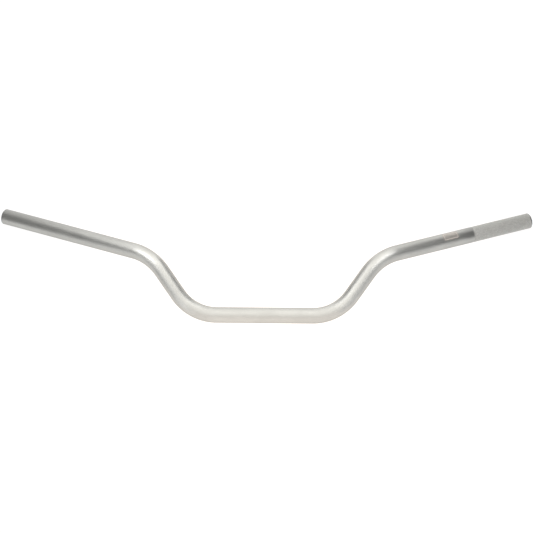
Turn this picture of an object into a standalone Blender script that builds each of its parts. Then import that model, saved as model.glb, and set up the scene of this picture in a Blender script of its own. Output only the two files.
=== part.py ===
"""A bare motorcycle handlebar: one hollow tube with four bends, and a blank label on one grip section.

Metres. The origin is the middle of the clamp section, on the tube's axis. +X runs along the clamp section,
towards the end that takes the clutch-side grip. +Y runs back towards the rider, and +Z is up. The bar lies as it
would on a table: the clamp section and both bar ends touch one level plane, and the elbows arch above it.
"""

import math

import bmesh
import bpy
from mathutils import Matrix, Vector

# The tube.
TUBE_RADIUS = 0.0111  # 22.2 mm (7/8 in) outside diameter
BORE_RADIUS = 0.0071  # a 4 mm wall
OUTER_CHAMFER = 0.0012
BORE_CHAMFER = 0.0006

# Where the tube's axis would turn if its bends were sharp, on the +X half.
CLAMP_CORNER = Vector((0.102, 0.0, 0.0))
ELBOW_CORNER = Vector((0.161, 0.075, 0.037))
BAR_END = Vector((0.383, 0.167, -0.0003))

# Radius of the tube's axis in each bend.
CLAMP_BEND_RADIUS = 0.067
ELBOW_BEND_RADIUS = 0.073

# The blank label, on top of the grip section at +X.
LABEL_LENGTH = 0.024
LABEL_WIDTH = 0.013  # around the tube
LABEL_THICKNESS = 0.00015
LABEL_GAP = 0.0003
LABEL_FROM_END = 0.132  # from the bar end to the label's middle

# How finely the round shapes are cut.
TUBE_SIDES = 36
BEND_STEP = math.radians(5.0)
LABEL_STEPS = 8
SMOOTH_UP_TO = math.radians(40.0)
WELD_DISTANCE = 0.00001

# Colour, roughness and metallic value.
SATIN_ALUMINIUM = ((0.52, 0.52, 0.50), 0.34, 1.0)
LABEL_FILM = ((0.54, 0.51, 0.47), 0.36, 0.0)


def clear_scene():
    """Remove every object that the scene starts with."""
    for thing in list(bpy.data.objects):
        bpy.data.objects.remove(thing)


def material(name, look):
    """A Principled BSDF material from a colour, a roughness and a metallic value."""
    colour, roughness, metallic = look
    made = bpy.data.materials.new(name)
    made.use_nodes = True
    shader = made.node_tree.nodes["Principled BSDF"]
    shader.inputs["Base Color"].default_value = (*colour, 1.0)
    shader.inputs["Roughness"].default_value = roughness
    shader.inputs["Metallic"].default_value = metallic
    made.diffuse_color = (*colour, 1.0)
    return made


def add_object(name, mesh, look):
    """An object from a bmesh, shaded smooth except across sharp edges."""
    data = bpy.data.meshes.new(name)
    mesh.to_mesh(data)
    mesh.free()
    data.shade_smooth()
    data.set_sharp_from_angle(angle=SMOOTH_UP_TO)
    data.materials.append(material(name, look))
    made = bpy.data.objects.new(name, data)
    bpy.context.scene.collection.objects.link(made)
    return made


def loop_about_x(mesh, radius):
    """A closed loop of edges around the X axis, in the plane X = 0."""
    made = bmesh.ops.create_circle(
        mesh,
        segments=TUBE_SIDES,
        radius=radius,
        matrix=Matrix.Rotation(math.pi / 2, 4, "Y"),
    )
    corners = set(made["verts"])
    return [edge for edge in mesh.edges if set(edge.verts) <= corners]


def extrude_loop(mesh, loop):
    """Extrude a loop of edges in place, and return the new loop and its corners."""
    made = bmesh.ops.extrude_edge_only(mesh, edges=loop)["geom"]
    corners = {item for item in made if isinstance(item, bmesh.types.BMVert)}
    edges = [item for item in made if isinstance(item, bmesh.types.BMEdge)]
    return [edge for edge in edges if set(edge.verts) <= corners], list(corners)


def draw_straight(mesh, loop, travel):
    """Extrude a loop of edges along a straight line, and return the loop where it stops."""
    loop, corners = extrude_loop(mesh, loop)
    bmesh.ops.translate(mesh, verts=corners, vec=travel)
    return loop


def draw_ring(mesh, loop, middle, radius):
    """Extrude a loop of edges to a ring of another radius about another middle, and return it."""
    loop, corners = extrude_loop(mesh, loop)
    old_middle = sum((corner.co for corner in corners), Vector()) / len(corners)
    for corner in corners:
        corner.co = middle + (corner.co - old_middle).normalized() * radius
    return loop


def draw_bend(mesh, loop, bend):
    """Spin a loop of edges round a bend, and return the loop where it stops."""
    corners = list({corner for edge in loop for corner in edge.verts})
    made = bmesh.ops.spin(
        mesh,
        geom=loop + corners,
        cent=bend["centre"],
        axis=bend["axis"],
        angle=bend["angle"],
        steps=math.ceil(bend["angle"] / BEND_STEP),
    )["geom_last"]
    return [item for item in made if isinstance(item, bmesh.types.BMEdge)]


def bend_at(corner, before, after, radius):
    """The arc of an axis that turns from one direction to another near a corner."""
    angle = before.angle(after)
    reach = radius * math.tan(angle / 2)
    start = corner - before * reach
    axis = before.cross(after).normalized()
    return {
        "start": start,
        "stop": corner + after * reach,
        "centre": start + axis.cross(before) * radius,
        "axis": axis,
        "angle": angle,
    }


def half_tube_wall(mesh, radius, first_bend, second_bend, stop):
    """One wall of the tube from the mid-plane towards the +X end, returning the loop where it stops."""
    loop = loop_about_x(mesh, radius)
    loop = draw_straight(mesh, loop, first_bend["start"])
    loop = draw_bend(mesh, loop, first_bend)
    loop = draw_straight(mesh, loop, second_bend["start"] - first_bend["stop"])
    loop = draw_bend(mesh, loop, second_bend)
    return draw_straight(mesh, loop, stop - second_bend["stop"])


def make_tube(upright, grip):
    """The bent tube, open at both ends, as one half and its mirror image."""
    along_clamp = Vector((1.0, 0.0, 0.0))
    bends = (
        bend_at(CLAMP_CORNER, along_clamp, upright, CLAMP_BEND_RADIUS),
        bend_at(ELBOW_CORNER, upright, grip, ELBOW_BEND_RADIUS),
    )
    outside_stop = BAR_END - grip * OUTER_CHAMFER
    bore_stop = BAR_END - grip * BORE_CHAMFER
    mesh = bmesh.new()
    half_tube_wall(mesh, BORE_RADIUS, *bends, bore_stop)
    loop = half_tube_wall(mesh, TUBE_RADIUS, *bends, outside_stop)
    loop = draw_ring(mesh, loop, BAR_END, TUBE_RADIUS - OUTER_CHAMFER)
    loop = draw_ring(mesh, loop, BAR_END, BORE_RADIUS + BORE_CHAMFER)
    draw_ring(mesh, loop, bore_stop, BORE_RADIUS)
    bmesh.ops.remove_doubles(mesh, verts=mesh.verts, dist=WELD_DISTANCE)
    bmesh.ops.recalc_face_normals(mesh, faces=mesh.faces)
    tube = add_object("handlebar_tube", mesh, SATIN_ALUMINIUM)
    mirror = tube.modifiers.new("other_half", "MIRROR")
    mirror.use_axis = (True, False, False)
    mirror.use_mirror_merge = True
    mirror.merge_threshold = WELD_DISTANCE
    return tube


def make_label(grip):
    """A thin blank film wrapped over the top of the grip section."""
    up = Vector((0.0, 0.0, 1.0))
    outwards = (up - grip * up.dot(grip)).normalized()
    span = LABEL_WIDTH / TUBE_RADIUS
    middle = BAR_END - grip * LABEL_FROM_END
    edge_direction = Matrix.Rotation(-span / 2, 3, grip) @ outwards
    half_length = grip * (LABEL_LENGTH / 2)
    inner_radius = TUBE_RADIUS + LABEL_GAP
    outer_radius = inner_radius + LABEL_THICKNESS
    mesh = bmesh.new()
    corners = [
        mesh.verts.new(middle - half_length + edge_direction * inner_radius),
        mesh.verts.new(middle + half_length + edge_direction * inner_radius),
        mesh.verts.new(middle + half_length + edge_direction * outer_radius),
        mesh.verts.new(middle - half_length + edge_direction * outer_radius),
    ]
    outline = [mesh.edges.new((corners[i - 1], corners[i])) for i in range(len(corners))]
    bmesh.ops.spin(
        mesh,
        geom=outline + corners,
        cent=middle,
        axis=grip,
        angle=span,
        steps=LABEL_STEPS,
    )
    bmesh.ops.holes_fill(mesh, edges=[edge for edge in mesh.edges if edge.is_boundary])
    bmesh.ops.recalc_face_normals(mesh, faces=mesh.faces)
    return add_object("blank_label", mesh, LABEL_FILM)


def main():
    clear_scene()
    upright = (ELBOW_CORNER - CLAMP_CORNER).normalized()
    grip = (BAR_END - ELBOW_CORNER).normalized()
    make_tube(upright, grip)
    make_label(grip)


main()
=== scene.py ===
"""Looks for the bare motorcycle handlebar: the fine tube with its knurling, the blank label, and the studio.

Metres, in the CAD model's frame. The origin is the middle of the clamp section, on the tube's axis. +X runs
towards the clutch-side end, +Y back towards the rider, and +Z up from the table that the bar lies on.
"""

import math

import bmesh
import bpy
from mathutils import Matrix, Vector


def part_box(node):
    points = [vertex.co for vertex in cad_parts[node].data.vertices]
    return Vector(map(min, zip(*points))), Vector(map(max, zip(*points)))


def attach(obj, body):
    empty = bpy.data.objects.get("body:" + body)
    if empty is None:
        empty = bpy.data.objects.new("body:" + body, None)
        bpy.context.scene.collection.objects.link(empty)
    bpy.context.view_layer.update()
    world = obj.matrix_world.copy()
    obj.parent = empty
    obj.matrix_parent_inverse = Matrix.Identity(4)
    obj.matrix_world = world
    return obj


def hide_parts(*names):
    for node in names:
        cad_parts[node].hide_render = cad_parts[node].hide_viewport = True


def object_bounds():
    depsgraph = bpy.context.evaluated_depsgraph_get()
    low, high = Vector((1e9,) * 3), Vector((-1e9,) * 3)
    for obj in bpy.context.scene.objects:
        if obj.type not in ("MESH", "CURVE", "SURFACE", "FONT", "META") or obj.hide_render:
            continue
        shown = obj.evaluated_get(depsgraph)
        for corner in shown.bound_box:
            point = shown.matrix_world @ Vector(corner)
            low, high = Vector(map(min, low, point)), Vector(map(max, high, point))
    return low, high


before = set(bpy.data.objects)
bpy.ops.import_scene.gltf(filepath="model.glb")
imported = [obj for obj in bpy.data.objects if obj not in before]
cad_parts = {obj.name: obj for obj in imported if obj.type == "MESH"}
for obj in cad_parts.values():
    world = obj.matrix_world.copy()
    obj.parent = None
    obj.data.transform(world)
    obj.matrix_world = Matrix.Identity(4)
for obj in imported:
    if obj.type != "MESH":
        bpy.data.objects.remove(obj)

CAD_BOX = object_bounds()
FLOOR_LEVEL = CAD_BOX[0][2]

# The tube, as the CAD model has it. Its lowest point is a radius below the origin.
TUBE_RADIUS = -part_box("handlebar_tube")[0].z
BORE_RADIUS = 0.0071
OUTER_CHAMFER = 0.0012
BORE_CHAMFER = 0.0006
SHADED_END_BAND = 0.0004  # beside the chamfer, darkened together with it by painted edge shade
CUT_LENGTH = SHADED_END_BAND + OUTER_CHAMFER  # from the anodised wall to the bar end
CUT_STEP = 0.00005  # over which one tone gives way to the next
FACE_END_SHADE = 0.4  # how much of the painted edge shade the flat end has, against the chamfer
CLAMP_CORNER = Vector((0.102, 0.0, 0.0))
ELBOW_CORNER = Vector((0.161, 0.075, 0.037))
BAR_END = Vector((0.383, 0.167, -0.0003))
CLAMP_BEND_RADIUS = 0.067
ELBOW_BEND_RADIUS = 0.073
CLAMP_DIRECTION = Vector((1.0, 0.0, 0.0))
UPRIGHT_DIRECTION = (ELBOW_CORNER - CLAMP_CORNER).normalized()
GRIP_DIRECTION = (BAR_END - ELBOW_CORNER).normalized()
UP = Vector((0.0, 0.0, 1.0))

# The knurling, a cross pattern of fine grooves rolled into the clutch-side grip.
KNURL_LENGTH = 0.096  # from the bar end
KNURL_END_MARGIN = 0.0026  # plain tube left beside the bar end
KNURL_DIAMONDS = 64  # around the tube
KNURL_HELIX = math.radians(30.0)  # between the grooves and the tube's axis
KNURL_DEPTH = 0.00015
KNURL_SINK = 0.00002  # how far the crests lie under the plain tube
KNURL_START = 0.0011  # width of the plain groove that the knurling starts from
STEPS_PER_DIAMOND = 4

# How finely the tube is cut.
TUBE_SIDES = KNURL_DIAMONDS * STEPS_PER_DIAMOND
BORE_SIDES = 72
BEND_STEP = math.radians(3.0)
STRAIGHT_STEP = 0.016
SHARP_FROM = math.radians(28.0)

# The blank label on top of the grip section.
LABEL_FROM_END = 0.132  # from the bar end to its middle
LABEL_LENGTH = 0.024
LABEL_WIDTH = 0.013  # around the tube
LABEL_CORNER = 0.0024
LABEL_LIFT = 0.00002
LABEL_THICKNESS = 0.00009
LABEL_STEP = 0.0003
LABEL_REACH = 0.9999  # of the length is built, which keeps the end rows just inside the rounded corners
LABEL_LINE_INSET = 0.0012
LABEL_LINE_WIDTH = 0.0009
LABEL_LINE_SOFT = 0.0001
LABEL_GROUNDS = ((0.41, 0.385, 0.355, 1.0), (0.47, 0.44, 0.41, 1.0))
LABEL_LINE_COLOUR = (0.62, 0.57, 0.53, 1.0)
LABEL_METALLIC, LABEL_LINE_METALLIC = 0.95, 0.35
LABEL_ROUGHNESS = (0.33, 0.39)
LABEL_WEAVE = {"scale": 900.0, "detail": 3.0}
LABEL_WEAVE_STRETCH = (1.0, 5.0, 1.0)
LABEL_MOTTLE = {"scale": 260.0, "detail": 3.0}
LABEL_BUMP = (0.00001, 0.3)  # depth and strength

# The metal's gloss spreads wider around the tube than along it, because the tube is drawn lengthwise.
DRAWN_GRAIN = 0.722
TUBE_ROUGHNESS = 0.335
KNURL_METALLIC = 0.75
RIM_SHADE_TINT = 0.6  # reflectance towards the silhouette, against a plain metal's, lowered as painted shade that darkens the rims

# The metal's tones, as linear greys.
GREY_BLUE = 0.96  # the blue of every grey, against its green
CLOUD_TONES = (0.49, 0.54)
DRAWN_TONE, DRAWN_MIX = 0.475, 0.75
SCRATCH_TONE, SCRATCH_MIX = 0.64, 0.4
CREST_TONES = (0.54, 0.62)
GROOVE_TONE, GROOVE_MIX = 0.30, 0.45
GROOVE_WARMTH = 1.02
# Painted shade: a near-black line on the bar ends, over the chamfer, the band beside it and part of the flat
# end.
END_SHADE_TONE, END_SHADE_MIX = 0.07, 0.95
BORE_TONE = 0.28

# The metal's noise patterns. Scales are features to a metre. A stretch of 0.05 makes them 20 times as long.
CLOUDS = {"scale": 30.0, "detail": 4.0, "roughness": 0.6}
SMUDGES = {"scale": 55.0, "detail": 4.0, "roughness": 0.65}
LINES = {"scale": 1900.0, "detail": 3.0, "roughness": 0.65}
LINE_STRETCH = (1.0, 1.0, 0.03)
SCRATCHES = {"scale": 420.0, "detail": 1.0}
SCRATCH_STRETCH = (1.0, 1.0, 0.05)
SCRATCH_SLANTS = ((0.5, 0.0), (-0.9, 0.4))  # the turn in radians, and the shift of the pattern in metres
SCRATCH_SIDE_TURN = 0.7  # of the slant
SCRATCH_WIDTH = 0.006  # in the noise's own values, to each side of their middle
SCRATCH_PATCHES = {"scale": 24.0}
BLOTCHES = {"scale": 420.0, "detail": 3.0, "roughness": 0.6}
BLOTCH_STRETCH = (1.0, 1.0, 0.6)
GRAIN = {"scale": 4200.0}

# The values between which a pattern comes in. A noise lies mostly within its spread.
NOISE_MIDDLE = 0.5
NOISE_SPREAD = (0.3, 0.7)
NARROW_SPREAD = (0.35, 0.65)
LINE_SPREAD = (0.38, 0.66)
PATCH_SPREAD = (0.56, 0.66)
GROOVE_SPREAD = (0.55, 1.0)
WHOLE = (0.0, 1.0)

# What each pattern adds to the roughness, and the depth and strength of each bump.
SMUDGE_ROUGHNESS = 0.02  # up or down
LINE_ROUGHNESS = 0.02
SCRATCH_ROUGHNESS = -0.05
KNURL_ROUGHNESS = 0.20
BORE_ROUGHNESS = 0.22
LINE_BUMP = (0.000008, 0.7)
GRAIN_BUMP = (0.000003, 0.5)
SCRATCH_BUMP = (0.00001, 0.4)

# The camera.
CAMERA_TARGET = Vector((0.00224, 0.05715, 0.03806))
CAMERA_DISTANCE = 2.3
CAMERA_ELEVATION = math.radians(56.305)
CAMERA_SWING = math.radians(1.382)  # round towards +X
CAMERA_ROLL = math.radians(-0.66)
CAMERA_LENS = 110.558
SENSOR_WIDTH = 36.0

# The studio.
NEUTRAL = (1.0, 1.0, 1.0)
WARM = (1.07, 1.0, 0.94)
OFF_WHITE = (1.01, 1.0, 0.98)
CREAM = (1.03, 1.0, 0.95)
ROOM_GREY = 0.204
FLOOR_SIZE = 8.0  # half a side
FLOOR_GAP = 0.0002  # under the bar
FLOOR_GREY = 0.10
FLOOR_ROUGHNESS = 0.9
FLOOR_GLOW = 0.93
FLOOR_MIDDLE_GLOW = 1.25
FLOOR_POOL = 0.22  # from the middle to where the middle's extra glow has fallen to 37 percent


# ---------------------------------------------------------------- camera


def towards(swing, elevation):
    """A direction out from the bar: swing 0 is in front, and grows towards +X."""
    level = math.cos(elevation)
    return Vector((math.sin(swing) * level, -math.cos(swing) * level, math.sin(elevation)))


def place_camera():
    """The camera, looking down at the bar from the front."""
    data = bpy.data.cameras.new("camera")
    data.lens = CAMERA_LENS
    data.sensor_width = SENSOR_WIDTH
    away = towards(CAMERA_SWING, CAMERA_ELEVATION)
    camera = bpy.data.objects.new("camera", data)
    camera.matrix_world = (
        Matrix.Translation(CAMERA_TARGET + away * CAMERA_DISTANCE)
        @ away.to_track_quat("Z", "Y").to_matrix().to_4x4()
        @ Matrix.Rotation(CAMERA_ROLL, 4, "Z")
    )
    bpy.context.scene.collection.objects.link(camera)
    bpy.context.scene.camera = camera


# ---------------------------------------------------------------- the tube's axis


class Station:
    """A point of the tube's axis, with two directions there and its distance from the mid-plane."""

    def __init__(self, middle, across, along, distance):
        self.middle = middle
        self.across = across.normalized()
        self.along = along.normalized()
        self.distance = distance

    def mirrored(self):
        """The same point of the -X half, where the axis still runs towards +X."""
        flip = Vector((-1.0, 1.0, 1.0))
        return Station(self.middle * flip, self.across * flip, -self.along * flip, -self.distance)

    def moved(self, step):
        """A station a step further along the straight line from this one."""
        return Station(self.middle + self.along * step, self.across, self.along, self.distance + step)

    def outwards(self, angle):
        """The direction out from the axis at an angle around it. Angle 0 is on top of the clamp section."""
        side = self.along.cross(self.across)
        return self.across * math.cos(angle) + side * math.sin(angle)


def add_straight(line, stop, spacing):
    """Carry the axis on in a straight line."""
    last = line[-1]
    length = (stop - last.middle).length
    steps = max(1, round(length / spacing))
    for i in range(1, steps + 1):
        line.append(last.moved(length * i / steps))


def add_bend(line, corner, after, radius):
    """Carry the axis on up to a bend and round it."""
    before = line[-1].along
    angle = before.angle(after)
    add_straight(line, corner - before * radius * math.tan(angle / 2), STRAIGHT_STEP)
    start = line[-1]
    axis = before.cross(after).normalized()
    centre = start.middle + axis.cross(before) * radius
    steps = math.ceil(angle / BEND_STEP)
    for i in range(1, steps + 1):
        part = angle * i / steps
        turn = Matrix.Rotation(part, 3, axis)
        middle = centre + turn @ (start.middle - centre)
        distance = start.distance + radius * part
        line.append(Station(middle, turn @ start.across, turn @ start.along, distance))


def half_line(end_spacing):
    """Stations from the mid-plane to where the +X end is cut, at another spacing in the last stretch."""
    line = [Station(Vector(), UP, CLAMP_DIRECTION, 0.0)]
    add_bend(line, CLAMP_CORNER, UPRIGHT_DIRECTION, CLAMP_BEND_RADIUS)
    add_bend(line, ELBOW_CORNER, GRIP_DIRECTION, ELBOW_BEND_RADIUS)
    add_straight(line, BAR_END - GRIP_DIRECTION * KNURL_LENGTH, STRAIGHT_STEP)
    add_straight(line, BAR_END - GRIP_DIRECTION * CUT_LENGTH, end_spacing)
    return line


def grip_station(from_end):
    """The station of the +X grip at a distance from the bar end."""
    last = half_line(STRAIGHT_STEP)[-1]
    return last.moved(CUT_LENGTH - from_end)


# ---------------------------------------------------------------- the tube


class TubeMesh:
    """A mesh of rings. Each vertex knows its place on the straightened tube, how it is worked there, and how
    much painted shade it takes at the bar ends.
    """

    def __init__(self):
        self.mesh = bmesh.new()
        self.straight = self.mesh.verts.layers.float_vector.new("straight")
        self.groove = self.mesh.verts.layers.float.new("groove")
        # how much painted shade at the bar ends each vertex takes
        self.cut = self.mesh.verts.layers.float.new("cut")
        self.inside = self.mesh.verts.layers.float.new("inside")
        self.knurled = self.mesh.verts.layers.float.new("knurled")

    def ring(self, station, sides, radius, cut=0.0, inside=0.0, depths=None):
        """A ring of vertices about a station. Depths says how far each lies in the knurling, from 0 to 1.
        Cut is its share of the painted shade at the bar ends.
        """
        made = []
        for column in range(sides):
            angle = 2 * math.pi * column / sides
            depth = depths[column] if depths else 0.0
            reach = radius - KNURL_SINK - KNURL_DEPTH * depth if depths else radius
            corner = self.mesh.verts.new(station.middle + station.outwards(angle) * reach)
            corner[self.straight] = (radius * math.cos(angle), radius * math.sin(angle), station.distance)
            corner[self.groove] = depth
            corner[self.cut] = cut
            corner[self.inside] = inside
            corner[self.knurled] = 1.0 if depths else 0.0
            made.append(corner)
        return made

    def join(self, first, second):
        """Quads between two rings with the same number of sides."""
        for i in range(len(first)):
            k = (i + 1) % len(first)
            self.mesh.faces.new((first[i], first[k], second[k], second[i]))

    def join_knurled(self, first, second, row):
        """Triangles between two rings, cut along the grooves and crests."""
        for i in range(len(first)):
            k = (i + 1) % len(first)
            a, b, c, d = first[i], first[k], second[k], second[i]
            if (i + row) % 2 == 0:
                self.mesh.faces.new((a, b, c))
                self.mesh.faces.new((a, c, d))
            else:
                self.mesh.faces.new((a, b, d))
                self.mesh.faces.new((b, c, d))

    def join_uneven(self, outer, inner):
        """Fill the flat ring between two loops that don't have the same number of sides."""
        edges = []
        for loop in (outer, inner):
            for i in range(len(loop)):
                edge = self.mesh.edges.get((loop[i - 1], loop[i]))
                edges.append(edge or self.mesh.edges.new((loop[i - 1], loop[i])))
        bmesh.ops.bridge_loops(self.mesh, edges=edges)


def unroll(mesh, straight):
    """Give a bmesh of rings its UVs: u once around the tube, and v along it in metres."""
    uv = mesh.loops.layers.uv.new("unrolled")
    for face in mesh.faces:
        places = [corner.vert[straight] for corner in face.loops]
        turns = [math.atan2(place.y, place.x) / (2 * math.pi) for place in places]
        wraps = max(turns) - min(turns) > 0.5
        for corner, place, turn in zip(face.loops, places, turns):
            corner[uv].uv = (turn + 1.0 if wraps and turn < 0.0 else turn, place.z)


def groove_share(column, row):
    """From 0 on a crest of the knurling to 1 in a groove."""
    half = STEPS_PER_DIAMOND / 2
    heights = []
    for count in (column + row, column - row):
        place = count % STEPS_PER_DIAMOND
        heights.append(min(place, STEPS_PER_DIAMOND - place) / half)
    return 1.0 - min(heights)


def knurl_row_spacing():
    """The distance between rings that puts every groove along the diagonals of the mesh."""
    return 2 * math.pi * TUBE_RADIUS / TUBE_SIDES / math.tan(KNURL_HELIX)


def knurl_depths(row, from_start):
    """How deep each column of a ring lies in the knurling, which starts from a plain groove."""
    if from_start < KNURL_START:
        return [1.0] * TUBE_SIDES
    return [groove_share(column, row) for column in range(TUBE_SIDES)]


def add_outside(tube, line):
    """The outer wall, knurled near the +X end. Returns its first and last rings."""
    bar_end = line[-1].distance + CUT_LENGTH
    starts, stops = bar_end - KNURL_LENGTH, bar_end - KNURL_END_MARGIN
    first = last = None
    was_knurled = False
    for row, station in enumerate(line):
        knurled = starts + knurl_row_spacing() / 2 < station.distance < stops
        depths = knurl_depths(row, station.distance - starts) if knurled else None
        ring = tube.ring(station, TUBE_SIDES, TUBE_RADIUS, depths=depths)
        if last and (knurled or was_knurled):
            tube.join_knurled(last, ring, row - 1)
        elif last:
            tube.join(last, ring)
        first = first or ring
        last, was_knurled = ring, knurled
    return first, last


def add_bore(tube, line):
    """The wall of the bore, with a ring at every other station. Returns its first and last rings."""
    onwards = CUT_LENGTH - BORE_CHAMFER
    thinned = [line[0].moved(-onwards), *line[2:-2:2], line[-1].moved(onwards)]
    rings = [tube.ring(station, BORE_SIDES, BORE_RADIUS, inside=1.0) for station in thinned]
    for near, far in zip(rings, rings[1:]):
        tube.join(far, near)
    return rings[0], rings[-1]


def add_end(tube, station, away, outer, inner):
    """The band beside the chamfer, the chamfers and the flat face of one bar end, darkened by painted edge
    shade. Away is 1 or -1 along the axis.
    """
    end = station.moved(away * CUT_LENGTH)
    rings = [
        outer,
        tube.ring(station.moved(away * CUT_STEP), TUBE_SIDES, TUBE_RADIUS, cut=1.0),
        tube.ring(station.moved(away * SHADED_END_BAND), TUBE_SIDES, TUBE_RADIUS, cut=1.0),
        tube.ring(end, TUBE_SIDES, TUBE_RADIUS - OUTER_CHAMFER, cut=1.0),
        tube.ring(end, TUBE_SIDES, TUBE_RADIUS - OUTER_CHAMFER - CUT_STEP, cut=FACE_END_SHADE),
    ]
    lip = tube.ring(end, BORE_SIDES, BORE_RADIUS + BORE_CHAMFER, cut=FACE_END_SHADE)
    for near, far in zip(rings, rings[1:]):
        tube.join(near, far)
    tube.join(lip, inner)
    tube.join_uneven(rings[-1], lip)


def link_mesh(name, mesh):
    """An object from a bmesh, shaded smooth except across sharp edges."""
    data = bpy.data.meshes.new(name)
    mesh.to_mesh(data)
    mesh.free()
    data.shade_smooth()
    data.set_sharp_from_angle(angle=SHARP_FROM)
    made = bpy.data.objects.new(name, data)
    bpy.context.scene.collection.objects.link(made)
    return made


def make_tube():
    """The whole bent tube as one closed mesh."""
    tube = TubeMesh()
    left = [station.mirrored() for station in half_line(STRAIGHT_STEP)]
    line = left[:0:-1] + half_line(knurl_row_spacing())
    outside = add_outside(tube, line)
    bore = add_bore(tube, line)
    add_end(tube, line[0], -1, outside[0], bore[0])
    add_end(tube, line[-1], 1, outside[1], bore[1])
    bmesh.ops.recalc_face_normals(tube.mesh, faces=tube.mesh.faces)
    unroll(tube.mesh, tube.straight)
    made = link_mesh("bent_tube", tube.mesh)
    made.data.materials.append(aluminium())
    return made


# ---------------------------------------------------------------- the label


def label_half_width(along):
    """Half the label's width at a distance from its middle, with rounded corners."""
    past = abs(along) - (LABEL_LENGTH / 2 - LABEL_CORNER)
    if past <= 0:
        return LABEL_WIDTH / 2
    return LABEL_WIDTH / 2 - LABEL_CORNER + math.sqrt(max(0.0, LABEL_CORNER**2 - past**2))


def edge_distance(along, around):
    """How far a point of the label is from its edge."""
    x = abs(along) - (LABEL_LENGTH / 2 - LABEL_CORNER)
    y = abs(around) - (LABEL_WIDTH / 2 - LABEL_CORNER)
    if x > 0 and y > 0:
        return LABEL_CORNER - math.hypot(x, y)
    return LABEL_CORNER - max(x, y)


def label_sheet(mesh, station, lift):
    """One face of the label as rows of vertices, at a height over the tube."""
    inset = mesh.verts.layers.float["inset"]
    flat = mesh.verts.layers.float_vector["flat"]
    top = (UP - station.along * UP.dot(station.along)).normalized()
    side = station.along.cross(top)
    lengths, widths = round(LABEL_LENGTH / LABEL_STEP), round(LABEL_WIDTH / LABEL_STEP)
    sheet = []
    for i in range(lengths + 1):
        along = LABEL_LENGTH * (i / lengths - 0.5) * LABEL_REACH
        row = []
        for k in range(widths + 1):
            around = label_half_width(along) * (2 * k / widths - 1)
            angle = around / TUBE_RADIUS
            out = top * math.cos(angle) + side * math.sin(angle)
            corner = mesh.verts.new(station.middle + station.along * along + out * (TUBE_RADIUS + lift))
            corner[inset] = edge_distance(along, around)
            corner[flat] = (along, around, 0.0)
            row.append(corner)
        sheet.append(row)
    return sheet


def close_label(mesh, under, over):
    """The faces of both sheets of the label, and of its rim."""
    lengths, widths = len(under) - 1, len(under[0]) - 1
    for i in range(lengths):
        for k in range(widths):
            for sheet in (under, over):
                mesh.faces.new((sheet[i][k], sheet[i + 1][k], sheet[i + 1][k + 1], sheet[i][k + 1]))
        for k in (0, widths):
            mesh.faces.new((under[i][k], over[i][k], over[i + 1][k], under[i + 1][k]))
    for i in (0, lengths):
        for k in range(widths):
            mesh.faces.new((under[i][k], over[i][k], over[i][k + 1], under[i][k + 1]))


def make_label():
    """A thin blank film with rounded corners, stuck on top of the grip section."""
    mesh = bmesh.new()
    mesh.verts.layers.float.new("inset")
    mesh.verts.layers.float_vector.new("flat")
    station = grip_station(LABEL_FROM_END)
    under = label_sheet(mesh, station, LABEL_LIFT)
    over = label_sheet(mesh, station, LABEL_LIFT + LABEL_THICKNESS)
    close_label(mesh, under, over)
    bmesh.ops.recalc_face_normals(mesh, faces=mesh.faces)
    made = link_mesh("blank_film", mesh)
    made.data.materials.append(label_film())
    return made


# ---------------------------------------------------------------- material nodes


class Look:
    """A node material in the making. Values are numbers or the outputs of other nodes."""

    def __init__(self, name):
        self.material = bpy.data.materials.new(name)
        self.material.use_nodes = True
        self.tree = self.material.node_tree
        self.shader = self.tree.nodes["Principled BSDF"]

    def node(self, kind, **settings):
        """A new node, with its settings."""
        made = self.tree.nodes.new(kind)
        for key, value in settings.items():
            setattr(made, key, value)
        return made

    def feed(self, socket, value):
        """Link or set an input."""
        if isinstance(value, bpy.types.NodeSocket):
            self.tree.links.new(value, socket)
        else:
            socket.default_value = value

    def math(self, operation, a, b=0.0):
        """The result of a sum on one or two values."""
        made = self.node("ShaderNodeMath", operation=operation)
        self.feed(made.inputs[0], a)
        self.feed(made.inputs[1], b)
        return made.outputs[0]

    def attribute(self, name, output="Fac"):
        """A value or vector that the mesh's vertices carry."""
        return self.node("ShaderNodeAttribute", attribute_name=name).outputs[output]

    def stretched(self, vector, scale):
        """The vector multiplied by a factor along each axis."""
        made = self.node("ShaderNodeMapping")
        self.feed(made.inputs["Vector"], vector)
        made.inputs["Scale"].default_value = scale
        return made.outputs[0]

    def noise(self, vector, scale, detail=2.0, roughness=0.5):
        """A smoothly varying value from 0 to 1."""
        made = self.node("ShaderNodeTexNoise")
        self.feed(made.inputs["Vector"], vector)
        made.inputs["Scale"].default_value = scale
        made.inputs["Detail"].default_value = detail
        made.inputs["Roughness"].default_value = roughness
        return made.outputs["Fac"]

    def ramp(self, value, low, high, at_low=0.0, at_high=1.0):
        """The value's range from low to high, drawn out smoothly from at_low to at_high."""
        made = self.node("ShaderNodeMapRange", interpolation_type="SMOOTHSTEP")
        self.feed(made.inputs["Value"], value)
        for name, number in (("From Min", low), ("From Max", high), ("To Min", at_low), ("To Max", at_high)):
            made.inputs[name].default_value = number
        return made.outputs["Result"]

    def mix(self, share, a, b):
        """A colour between two colours."""
        made = self.node("ShaderNodeMix", data_type="RGBA")
        self.feed(made.inputs["Factor"], share)
        self.feed(made.inputs["A"], a)
        self.feed(made.inputs["B"], b)
        return made.outputs["Result"]

    def bump(self, height, depth_and_strength, normal=None):
        """A normal that follows a height, on top of another normal if there is one."""
        distance, strength = depth_and_strength
        made = self.node("ShaderNodeBump")
        self.feed(made.inputs["Height"], height)
        made.inputs["Distance"].default_value = distance
        made.inputs["Strength"].default_value = strength
        if normal:
            self.feed(made.inputs["Normal"], normal)
        return made.outputs["Normal"]


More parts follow.
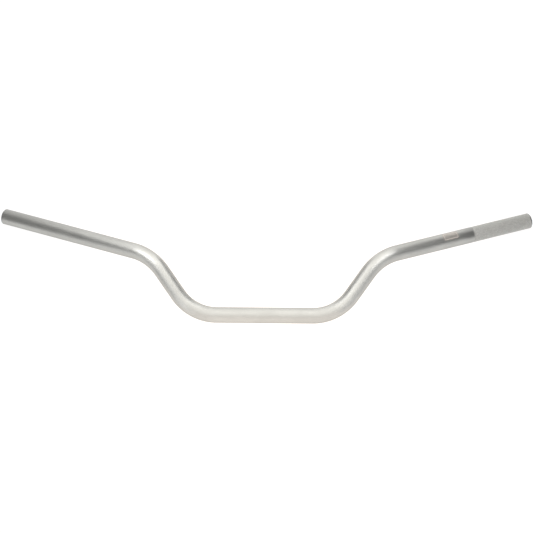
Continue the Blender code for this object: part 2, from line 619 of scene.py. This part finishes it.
def grey(value, warmth=1.0):
    """An opaque near-grey."""
    return (value * warmth, value, value * GREY_BLUE, 1.0)


def draw_lines(look, place):
    """Fine lengthwise lines that drawing leaves on a tube, from 0 to 1."""
    return look.noise(look.stretched(place, LINE_STRETCH), **LINES)


def scuffs(look, place):
    """Sparse thin scratches in two slanting directions, 1 where there is one."""
    marks = []
    for slant, offset in SCRATCH_SLANTS:
        turned = look.node("ShaderNodeMapping")
        look.feed(turned.inputs["Vector"], place)
        turned.inputs["Rotation"].default_value = (slant, slant * SCRATCH_SIDE_TURN, 0.0)
        turned.inputs["Location"].default_value = (offset, 0.0, 0.0)
        lines = look.noise(look.stretched(turned.outputs[0], SCRATCH_STRETCH), **SCRATCHES)
        near_middle = look.math("ABSOLUTE", look.math("SUBTRACT", lines, NOISE_MIDDLE))
        marks.append(look.ramp(near_middle, 0.0, SCRATCH_WIDTH, 1.0, 0.0))
    patches = look.ramp(look.noise(place, **SCRATCH_PATCHES), *PATCH_SPREAD)
    return look.math("MULTIPLY", look.math("MAXIMUM", *marks), patches)


def knurl_blotches(look, place):
    """Blotches where the rolling bit more or less deeply, from 0 to 1."""
    return look.noise(look.stretched(place, BLOTCH_STRETCH), **BLOTCHES)


def metal_colour(look, place, lines, scratches):
    """The anodised tone, darker in grooves, with painted shade as a dark line on the cut ends, and dull in
    the bore.
    """
    clouds = look.noise(place, **CLOUDS)
    colour = look.mix(look.ramp(clouds, *NARROW_SPREAD), *map(grey, CLOUD_TONES))
    colour = look.mix(look.ramp(lines, *LINE_SPREAD, 0.0, DRAWN_MIX), colour, grey(DRAWN_TONE))
    colour = look.mix(look.math("MULTIPLY", scratches, SCRATCH_MIX), colour, grey(SCRATCH_TONE))
    blotches = look.ramp(knurl_blotches(look, place), *NARROW_SPREAD)
    crest = look.mix(blotches, *map(grey, CREST_TONES))
    colour = look.mix(look.attribute("knurled"), colour, crest)
    grooves = look.ramp(look.attribute("groove"), *GROOVE_SPREAD, 0.0, GROOVE_MIX)
    colour = look.mix(grooves, colour, grey(GROOVE_TONE, GROOVE_WARMTH))
    # painted shade: a near-black edge line on the bar ends
    colour = look.mix(look.math("MULTIPLY", look.attribute("cut"), END_SHADE_MIX), colour, grey(END_SHADE_TONE))
    return look.mix(look.attribute("inside"), colour, grey(BORE_TONE))


def metal_roughness(look, place, lines, scratches):
    """Satin, with smudges and streaks, and duller in the knurling and the bore."""
    smudges = look.noise(place, **SMUDGES)
    smudged = look.ramp(smudges, *NOISE_SPREAD, -SMUDGE_ROUGHNESS, SMUDGE_ROUGHNESS)
    rough = look.math("ADD", TUBE_ROUGHNESS, smudged)
    for value, spread, amount in (
        (lines, NOISE_SPREAD, LINE_ROUGHNESS),
        (scratches, WHOLE, SCRATCH_ROUGHNESS),
        (look.attribute("knurled"), WHOLE, KNURL_ROUGHNESS),
        (look.attribute("inside"), WHOLE, BORE_ROUGHNESS),
    ):
        rough = look.math("ADD", rough, look.ramp(value, *spread, 0.0, amount))
    return rough


def metal_normal(look, place, lines, scratches):
    """The relief of the draw lines, of a fine grain and of the scratches."""
    normal = look.bump(lines, LINE_BUMP)
    normal = look.bump(look.noise(place, **GRAIN), GRAIN_BUMP, normal)
    return look.bump(look.math("SUBTRACT", 1.0, scratches), SCRATCH_BUMP, normal)


def aluminium():
    """Natural anodised aluminium tube, drawn lengthwise."""
    look = Look("satin_aluminium")
    sockets = look.shader.inputs
    place = look.attribute("straight", "Vector")
    lines = draw_lines(look, place)
    scratches = scuffs(look, place)
    look.feed(sockets["Base Color"], metal_colour(look, place, lines, scratches))
    look.feed(sockets["Roughness"], metal_roughness(look, place, lines, scratches))
    look.feed(sockets["Metallic"], look.ramp(look.attribute("knurled"), *WHOLE, 1.0, KNURL_METALLIC))
    look.feed(sockets["Normal"], metal_normal(look, place, lines, scratches))
    sockets["Anisotropic"].default_value = DRAWN_GRAIN
    # painted shade: darker reflections along the rims
    sockets["Specular Tint"].default_value = (RIM_SHADE_TINT, RIM_SHADE_TINT, RIM_SHADE_TINT, 1.0)
    around = look.node("ShaderNodeTangent", direction_type="UV_MAP", uv_map="unrolled")
    look.feed(sockets["Tangent"], around.outputs[0])
    return look.material


def label_line(look):
    """1 on the line printed round the label's edge, and 0 elsewhere."""
    inset = look.attribute("inset")
    inner, outer = LABEL_LINE_INSET, LABEL_LINE_INSET + LABEL_LINE_WIDTH
    past_inner = look.ramp(inset, inner - LABEL_LINE_SOFT, inner + LABEL_LINE_SOFT)
    before_outer = look.ramp(inset, outer - LABEL_LINE_SOFT, outer + LABEL_LINE_SOFT, 1.0, 0.0)
    return look.math("MULTIPLY", past_inner, before_outer)


def label_film():
    """A clear satin film that lets the metal's tone through, with a paler line printed round its edge."""
    look = Look("label_film")
    sockets = look.shader.inputs
    flat = look.attribute("flat", "Vector")
    weave = look.noise(look.stretched(flat, LABEL_WEAVE_STRETCH), **LABEL_WEAVE)
    mottle = look.noise(flat, **LABEL_MOTTLE)
    line = label_line(look)
    ground = look.mix(look.ramp(mottle, *NOISE_SPREAD), *LABEL_GROUNDS)
    look.feed(sockets["Base Color"], look.mix(line, ground, LABEL_LINE_COLOUR))
    look.feed(sockets["Metallic"], look.ramp(line, *WHOLE, LABEL_METALLIC, LABEL_LINE_METALLIC))
    look.feed(sockets["Roughness"], look.ramp(weave, *NOISE_SPREAD, *LABEL_ROUGHNESS))
    look.feed(sockets["Normal"], look.bump(weave, LABEL_BUMP))
    return look.material


# ---------------------------------------------------------------- studio


class Softbox:
    """A flat lamp that gives an even glow on one side. Away is the direction that its back faces."""

    def __init__(self, name, place, size, glow, away, colour=NEUTRAL, shape="RECTANGLE"):
        self.name = name
        self.place = place
        self.size = size
        self.glow = glow
        self.away = Vector(away)
        self.colour = colour
        self.shape = shape

    def build(self):
        """The area lamp. Its power is worked out from the glow of its face."""
        width, height = self.size
        area = width * height * (math.pi / 4 if self.shape == "ELLIPSE" else 1.0)
        lamp = bpy.data.lights.new(self.name, "AREA")
        lamp.shape = self.shape
        lamp.size = width
        lamp.size_y = height
        lamp.color = self.colour
        lamp.energy = math.pi * area * self.glow
        made = bpy.data.objects.new(self.name, lamp)
        made.rotation_euler = self.away.to_track_quat("Z", "Y").to_euler()
        made.location = self.place
        bpy.context.scene.collection.objects.link(made)


ABOVE, IN_FRONT, BEHIND = (0, 0, 1), (0, -1, 0), (0, 1, 0)
SOFTBOXES = (
    Softbox("ceiling_left", (-0.575, 0.254, 1.036), (0.650, 2.287), 1.284, ABOVE, OFF_WHITE),
    Softbox("ceiling_middle", (0.000, 0.254, 1.036), (0.500, 2.287), 1.31, ABOVE, CREAM),
    Softbox("ceiling_right", (0.440, 0.254, 1.036), (0.379, 2.287), 1.284, ABOVE, OFF_WHITE),
    Softbox("left_lamp", (-0.675, -0.072, 1.031), (0.434, 0.518), 3.36, ABOVE, NEUTRAL, "ELLIPSE"),
    Softbox("right_lamp", (0.630, -0.117, 1.031), (0.384, 0.648), 2.95, ABOVE, NEUTRAL, "ELLIPSE"),
    Softbox("inner_left_lamp", (-0.363, 0.150, 1.031), (0.450, 0.710), 0.80, ABOVE, NEUTRAL, "ELLIPSE"),
    Softbox("inner_right_lamp", (0.230, 0.380, 1.031), (0.300, 0.640), 0.95, ABOVE, NEUTRAL, "ELLIPSE"),
    Softbox("corner_lamp", (1.227, -1.191, 1.036), (0.748, 0.680), 0.765, ABOVE, NEUTRAL, "ELLIPSE"),
    Softbox("front_middle", (0.0, -1.2, 0.614), (1.6, 1.228), 1.039, IN_FRONT, WARM),
    Softbox("front_left", (-1.07, -1.2, 0.635), (0.54, 1.27), 1.217, IN_FRONT),
    Softbox("front_far_left", (-1.62, -1.2, 0.964), (0.56, 1.928), 1.037, IN_FRONT),
    Softbox("front_right", (1.302, -1.2, 0.788), (1.004, 1.576), 0.588, IN_FRONT),
    Softbox("front_far_right", (2.026, -1.2, 0.374), (0.444, 0.748), 0.881, IN_FRONT),
    Softbox("back_middle", (0.0, 1.2, 0.482), (1.086, 0.964), 1.061, BEHIND, OFF_WHITE),
    Softbox("back_left", (-0.862, 1.2, 0.482), (0.638, 0.964), 0.434, BEHIND),
    Softbox("back_near_right", (0.60, 0.7, 0.35), (0.26, 0.70), 0.5, BEHIND),
    Softbox("back_right", (0.862, 1.2, 0.482), (0.638, 0.964), 0.237, BEHIND),
)


def floor_surface():
    """A white table that glows a little, more so in the middle."""
    look = Look("white_table")
    sockets = look.shader.inputs
    split = look.node("ShaderNodeSeparateXYZ")
    look.feed(split.inputs[0], look.node("ShaderNodeTexCoord").outputs["Object"])
    aside = look.math("DIVIDE", look.math("ABSOLUTE", split.outputs["X"]), FLOOR_POOL)
    fade = look.math("POWER", math.exp(-1.0), look.math("POWER", aside, 2.0))
    middle = tuple(FLOOR_MIDDLE_GLOW * part for part in WARM)
    glow = look.mix(fade, (FLOOR_GLOW, FLOOR_GLOW, FLOOR_GLOW, 1.0), (*middle, 1.0))
    look.feed(sockets["Emission Color"], glow)
    sockets["Emission Strength"].default_value = 1.0
    sockets["Base Color"].default_value = (FLOOR_GREY, FLOOR_GREY, FLOOR_GREY, 1.0)
    sockets["Roughness"].default_value = FLOOR_ROUGHNESS
    sockets["Specular IOR Level"].default_value = 0.0
    return look.material


def make_floor():
    """The table, just under the bar."""
    mesh = bmesh.new()
    bmesh.ops.create_grid(mesh, x_segments=1, y_segments=1, size=FLOOR_SIZE)
    floor = link_mesh("floor", mesh)
    floor.location.z = FLOOR_LEVEL - FLOOR_GAP
    floor.data.materials.append(floor_surface())


def make_room():
    """Softboxes in a dim grey room."""
    for softbox in SOFTBOXES:
        softbox.build()
    world = bpy.data.worlds.new("room")
    world.use_nodes = True
    background = world.node_tree.nodes["Background"]
    background.inputs["Color"].default_value = (ROOM_GREY, ROOM_GREY, ROOM_GREY, 1.0)
    bpy.context.scene.world = world
    bpy.context.scene.view_settings.view_transform = "Standard"


# ---------------------------------------------------------------- the whole scene

place_camera()
make_floor()
make_room()

bent_tube = make_tube()
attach(bent_tube, "root")
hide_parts("handlebar_tube")

blank_film = make_label()
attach(blank_film, "root")
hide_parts("blank_label")
